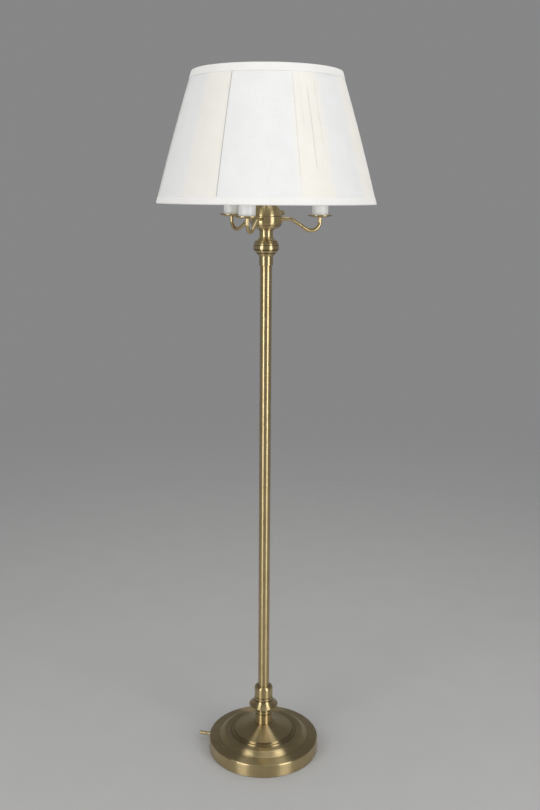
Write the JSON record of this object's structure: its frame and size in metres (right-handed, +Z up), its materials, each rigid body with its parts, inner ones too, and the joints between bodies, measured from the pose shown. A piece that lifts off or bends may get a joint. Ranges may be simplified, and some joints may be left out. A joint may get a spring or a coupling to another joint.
{
  "type": "floor lamp",
  "caption": "Turned brass floor lamp on a round weighted base, with curved candle arms round a centre socket, and a tapered fabric shade on a harp.",
  "frame": {"origin": "on the floor, on the column's axis, at the middle of the round base", "axes": "+Z up along the column; the picture looks along +Y, with +X to its right"},
  "size_m": [0.4571, 0.4572, 1.524],
  "materials": {
    "satin_brass": "satin brushed brass plate, clear lacquered",
    "tube_brass": "drawn tube, satin brass",
    "iron": "rough casting, painted",
    "felt": "dark green felt",
    "steel": "zinc plated",
    "lead_brown": "flexible lead sheath",
    "sleeve_white": "white candle sleeve",
    "moulded_black": "moulded phenolic",
    "contact_brass": "bright pressed brass",
    "liner_card": "insulating card",
    "shade_cloth": "off-white woven shade cloth",
    "shade_lining": "off-white lining",
    "shade_trim": "folded self-cloth trim",
    "shade_wire": "white enamelled wire"
  },
  "bodies": {
    "stand": {"base_shell": "satin_brass", "base_weight": "iron", "base_felt": "felt", "base_washer": "steel", "base_nipple": "steel", "cord_outlet": "satin_brass", "cord_outlet_nut": "steel", "main_lead": "lead_brown", "lower_neck": "satin_brass", "flare_collar": "satin_brass", "foot_collar": "satin_brass", "lower_pole": "tube_brass", "upper_pole": "tube_brass", "pole_bushes": "steel", "pole_stud": "steel", "top_collar": "satin_brass", "knuckle_lower": "satin_brass", "knuckle_upper": "satin_brass", "cluster_stem": "satin_brass", "cluster_body": "satin_brass", "cluster_dome": "satin_brass", "cluster_nipple": "steel", "tube_nuts": "steel", "candle_arm_1": "tube_brass", "candle_arm_2": "tube_brass", "candle_arm_3": "tube_brass", "arm_nuts": "steel", "arm_leads": "lead_brown", "drip_cup_1": "satin_brass", "drip_cup_2": "satin_brass", "drip_cup_3": "satin_brass", "candle_pillars": "steel", "candle_sleeve_1": "sleeve_white", "candle_sleeve_2": "sleeve_white", "candle_sleeve_3": "sleeve_white", "candle_socket_1": "moulded_black", "candle_socket_2": "moulded_black", "candle_socket_3": "moulded_black", "screw_shells": "contact_brass", "socket_contacts": "contact_brass", "candle_switch": "moulded_black", "candle_switch_nut": "contact_brass", "harp_saddle": "satin_brass", "socket_cap": "contact_brass", "socket_interior": "moulded_black", "socket_liner": "liner_card", "socket_shell": "contact_brass", "harp": "satin_brass", "harp_sleeves": "contact_brass"},
    "shade": {"shade_washer": "shade_wire", "shade_fitter": "shade_wire", "shade_bottom_ring": "shade_wire", "shade_ribs": "shade_wire", "shade_cover": "shade_cloth", "shade_lining": "shade_lining", "shade_lower_trim": "shade_trim", "shade_upper_trim": "shade_trim"},
    "finial_nut": {"finial": "satin_brass"},
    "key_knob": {"socket_key": "moulded_black"},
    "candle_knob": {"candle_switch_knob": "satin_brass"}
  },
  "joints": [
    {"name": "shade_swivel", "type": "hinge", "parent": "stand", "child": "shade", "pos_m": [0, 0, 1.5038], "axis": [0, 0, 1], "continuous": true},
    {"name": "finial_turn", "type": "hinge", "parent": "stand", "child": "finial_nut", "pos_m": [0, 0, 1.5056], "axis": [0, 0, 1], "continuous": true},
    {"name": "centre_key_turn", "type": "hinge", "parent": "stand", "child": "key_knob", "pos_m": [0, 0, 1.2886], "axis": [0, -1, 0], "continuous": true},
    {"name": "candle_switch_turn", "type": "hinge", "parent": "stand", "child": "candle_knob", "pos_m": [0, 0, 1.2385], "axis": [0.766, 0.6428, 0], "continuous": true}
  ]
}
